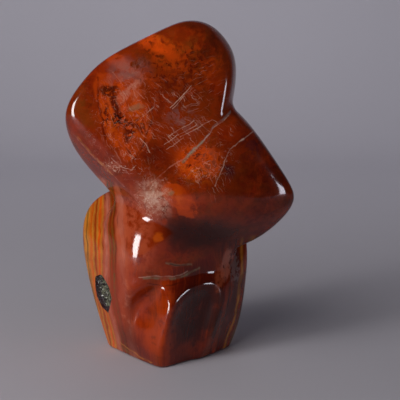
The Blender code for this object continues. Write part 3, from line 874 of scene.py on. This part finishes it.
def druse_material():
    material, tree, shader, place = new_material("pale_druse")
    x = put(tree, "ShaderNodeSeparateXYZ", {0: place}).outputs[0]
    tint = sum_of(tree, "MULTIPLY", mottle(tree, place, 4.0, 0.35, 0.6), fade(tree, x, -63.0, -55.0))
    colour = blend_colour(tree, tint, DRUSE_PURPLE, DRUSE_GREEN)
    tree.links.new(colour, shader.inputs["Base Color"])
    shader.inputs["Roughness"].default_value = DRUSE_ROUGHNESS
    shader.inputs["IOR"].default_value = JASPER_IOR
    return material


def floor_material(colour):
    material, tree, shader, place = new_material("plain_floor")
    cloud = noise(tree, place, scale=0.004, detail=2.0)
    tone = blend_colour(tree, cloud, tuple(c * 0.96 for c in colour), tuple(colour))
    tree.links.new(tone, shader.inputs["Base Color"])
    shader.inputs["Roughness"].default_value = 0.7
    shader.inputs["Specular IOR Level"].default_value = 0.2
    return material


class JasperStoneSettings(bpy.types.PropertyGroup):
    rough_voxel: FloatProperty(name="First skin", description="Face size of the first skin, in millimetres",
                               default=4.0, min=2.0, max=8.0)
    fine_voxel: FloatProperty(name="Fine skin", description="Face size of the polished skin, in millimetres",
                              default=1.3, min=1.1, max=4.0)
    crystal_seed: IntProperty(
        name="Crystal seed", description="Changes how the pit's crystals lie", default=9)


class JasperStageSettings(bpy.types.PropertyGroup):
    floor_colour: FloatVectorProperty(name="Floor", description="Colour of the floor and the backdrop",
                                      subtype="COLOR", size=3, default=(0.60, 0.58, 0.64))
    key_power: FloatProperty(name="Left light", description="Power of the strip light on the left",
                             default=8.4, unit="POWER")
    side_power: FloatProperty(name="Right light", description="Power of the strip light on the right",
                              default=2.6, unit="POWER")
    soft_power: FloatProperty(name="Soft light", description="Power of the broad light above on the left",
                              default=6.3, unit="POWER")
    backdrop_power: FloatProperty(name="Backdrop light", description="Power of the light on the backdrop",
                                  default=4.5, unit="POWER")
    fill: FloatProperty(name="Fill", description="Strength of the even light from all round", default=0.03)
    elevation: FloatProperty(name="Camera height", description="Angle of the camera above the horizon",
                             subtype="ANGLE", default=math.radians(12))
    distance: FloatProperty(name="Camera distance", description="From the lens to the middle of the stone",
                            unit="LENGTH", default=0.926)


class JASPER_OT_stone(bpy.types.Operator):
    """Grind the fine stone and cut its pit"""

    bl_idname = "jasper.stone"
    bl_label = "Polished Stone"

    def execute(self, context):
        sizes = context.scene.jasper_stone
        skin = fine_skin(sizes.rough_voxel, sizes.fine_voxel)
        skin.materials.append(jasper_material())
        stone = cut_pit(skin, raw_wall_material())
        stone.data.shade_smooth()
        stone.data.set_sharp_from_angle(angle=SHARP_ANGLE)
        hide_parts("jasper_stone")
        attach(stone, "root")
        return {"FINISHED"}


class JASPER_OT_druse(bpy.types.Operator):
    """Grow the crust of crystals in the pit"""

    bl_idname = "jasper.druse"
    bl_label = "Pit Crystals"

    def execute(self, context):
        dice = random.Random(context.scene.jasper_stone.crystal_seed)
        bm = rough_bowl(DRUSE_SHARE)
        saw(bm, (0, 0, DRUSE_TOP * MM), (0, 0, 1))
        for row in range(-CRYSTAL_GRID, CRYSTAL_GRID + 1):
            for column in range(-CRYSTAL_GRID, CRYSTAL_GRID + 1):
                x = (column + dice.uniform(-0.4, 0.4)) * CRYSTAL_STEP
                y = (row + dice.uniform(-0.4, 0.4)) * CRYSTAL_STEP
                radius, height = dice.uniform(*CRYSTAL_RADIUS), dice.uniform(*CRYSTAL_HEIGHT)
                lean = [dice.uniform(-CRYSTAL_LEAN, CRYSTAL_LEAN) for _ in range(2)]
                lean.append(dice.uniform(0, math.pi))
                if math.hypot(x / PIT_HALF[0], y / PIT_HALF[1]) < CRYSTAL_REACH:
                    foot = Vector((x, y, DRUSE_TOP - CRYSTAL_ROOT)) * MM
                    crystal(bm, foot, radius * MM, height * MM, lean)
        bmesh.ops.transform(bm, matrix=pit_frame(), verts=bm.verts[:])
        druse = bpy.data.objects.new("crystal_crust", mesh_of(bm, "crystal_crust"))
        druse.data.materials.append(druse_material())
        context.scene.collection.objects.link(druse)
        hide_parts("pit_druse")
        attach(druse, "root")
        return {"FINISHED"}


TARGET = Vector((0.025, 0.0, 0.131))
FLOOR_HALF, FLOOR_BACK, BACKDROP_RISE, FLOOR_DROP, SWEEP = 3.0, 0.9, 2.0, 0.0002, 0.7
BACKDROP_TILT = math.radians(62)
LENS, SENSOR = 100.0, 36.0


def swept(along):
    """Where the backdrop is past the level floor: round a quarter turn, then upright."""
    turn = min(max(along / SWEEP, 0.0), math.pi / 2)
    upright = max(0.0, along - SWEEP * math.pi / 2)
    return FLOOR_BACK + min(along, 0.0) + SWEEP * math.sin(turn), SWEEP * (1 - math.cos(turn)) + upright


def strip_light(name, azimuth, elevation, distance, wide, tall, power, colour):
    """A soft box seen from the stone at that azimuth from the camera's side."""
    lamp = bpy.data.lights.new(name, "AREA")
    lamp.shape = "RECTANGLE"
    lamp.size, lamp.size_y = wide, tall
    lamp.energy = power
    lamp.color = colour
    light = bpy.data.objects.new(name, lamp)
    light.location = TARGET + Vector(aim(azimuth, elevation)) * distance
    light.rotation_euler = (TARGET - light.location).to_track_quat("-Z", "Y").to_euler()
    bpy.context.scene.collection.objects.link(light)
    return light


class JASPER_OT_stage(bpy.types.Operator):
    """Set the floor, the lights and the camera"""

    bl_idname = "jasper.stage"
    bl_label = "Stage"

    def execute(self, context):
        look = context.scene.jasper_stage
        bm = bmesh.new()
        bmesh.ops.create_grid(bm, x_segments=2, y_segments=120, size=1.0)
        for vert in bm.verts:
            along = (vert.co.y + 1) / 2 * (3 * FLOOR_BACK + BACKDROP_RISE) - 3 * FLOOR_BACK
            y, z = swept(along)
            vert.co = (vert.co.x * FLOOR_HALF, y, z - FLOOR_DROP)
        floor = bpy.data.objects.new("floor", mesh_of(bm, "floor"))
        floor.data.materials.append(floor_material(look.floor_colour))
        floor.data.shade_smooth()
        context.scene.collection.objects.link(floor)
        strip_light("left_strip", -56, 3, 1.25, 0.26, 0.40, look.key_power, (1.0, 0.985, 0.97))
        strip_light("right_strip", 62, -1, 1.25, 0.24, 0.24, look.side_power, (0.86, 0.88, 1.0))
        soft = strip_light("soft_top", -38, 46, 1.3, 0.9, 0.9, look.soft_power, (1.0, 0.97, 0.95))
        power = look.backdrop_power
        behind = strip_light("backdrop_light", 180, 60, 1.1, 1.6, 0.4, power, (0.95, 0.95, 1.0))
        behind.rotation_euler = (BACKDROP_TILT, 0, 0)
        for light in (soft, behind):
            light.visible_glossy = False
        world = bpy.data.worlds.new("fill")
        world.use_nodes = True
        back = world.node_tree.nodes["Background"]
        back.inputs["Color"].default_value = (0.82, 0.82, 0.9, 1.0)
        back.inputs["Strength"].default_value = look.fill
        context.scene.world = world
        context.scene.view_settings.view_transform = "Standard"
        lens = bpy.data.cameras.new("camera")
        lens.lens, lens.sensor_width = LENS, SENSOR
        camera = bpy.data.objects.new("camera", lens)
        camera.location = TARGET + Vector(aim(0, math.degrees(look.elevation))) * look.distance
        camera.rotation_euler = (TARGET - camera.location).to_track_quat("-Z", "Y").to_euler()
        context.scene.collection.objects.link(camera)
        context.scene.camera = camera
        return {"FINISHED"}


class JASPER_PT_panel(bpy.types.Panel):
    """The stone's sizes and the stage, with a button for each piece"""

    bl_label = "Jasper Ornament"
    bl_idname = "JASPER_PT_panel"
    bl_space_type = "VIEW_3D"
    bl_region_type = "UI"
    bl_category = "Jasper"

    def draw(self, context):
        for settings in (context.scene.jasper_stone, context.scene.jasper_stage):
            box = self.layout.box()
            for name in settings.__annotations__:
                box.prop(settings, name)
        for operator in (JASPER_OT_stone, JASPER_OT_druse, JASPER_OT_stage):
            self.layout.operator(operator.bl_idname)


CLASSES = (
    JasperStoneSettings, JasperStageSettings, JASPER_OT_stone, JASPER_OT_druse, JASPER_OT_stage,
    JASPER_PT_panel,
)


def register():
    for cls in CLASSES:
        bpy.utils.register_class(cls)
    bpy.types.Scene.jasper_stone = PointerProperty(type=JasperStoneSettings)
    bpy.types.Scene.jasper_stage = PointerProperty(type=JasperStageSettings)


def unregister():
    del bpy.types.Scene.jasper_stage
    del bpy.types.Scene.jasper_stone
    for cls in reversed(CLASSES):
        bpy.utils.unregister_class(cls)


def main():
    register()
    make_groups()
    bpy.ops.jasper.stone()
    bpy.ops.jasper.druse()
    bpy.ops.jasper.stage()


if __name__ == "__main__":
    main()
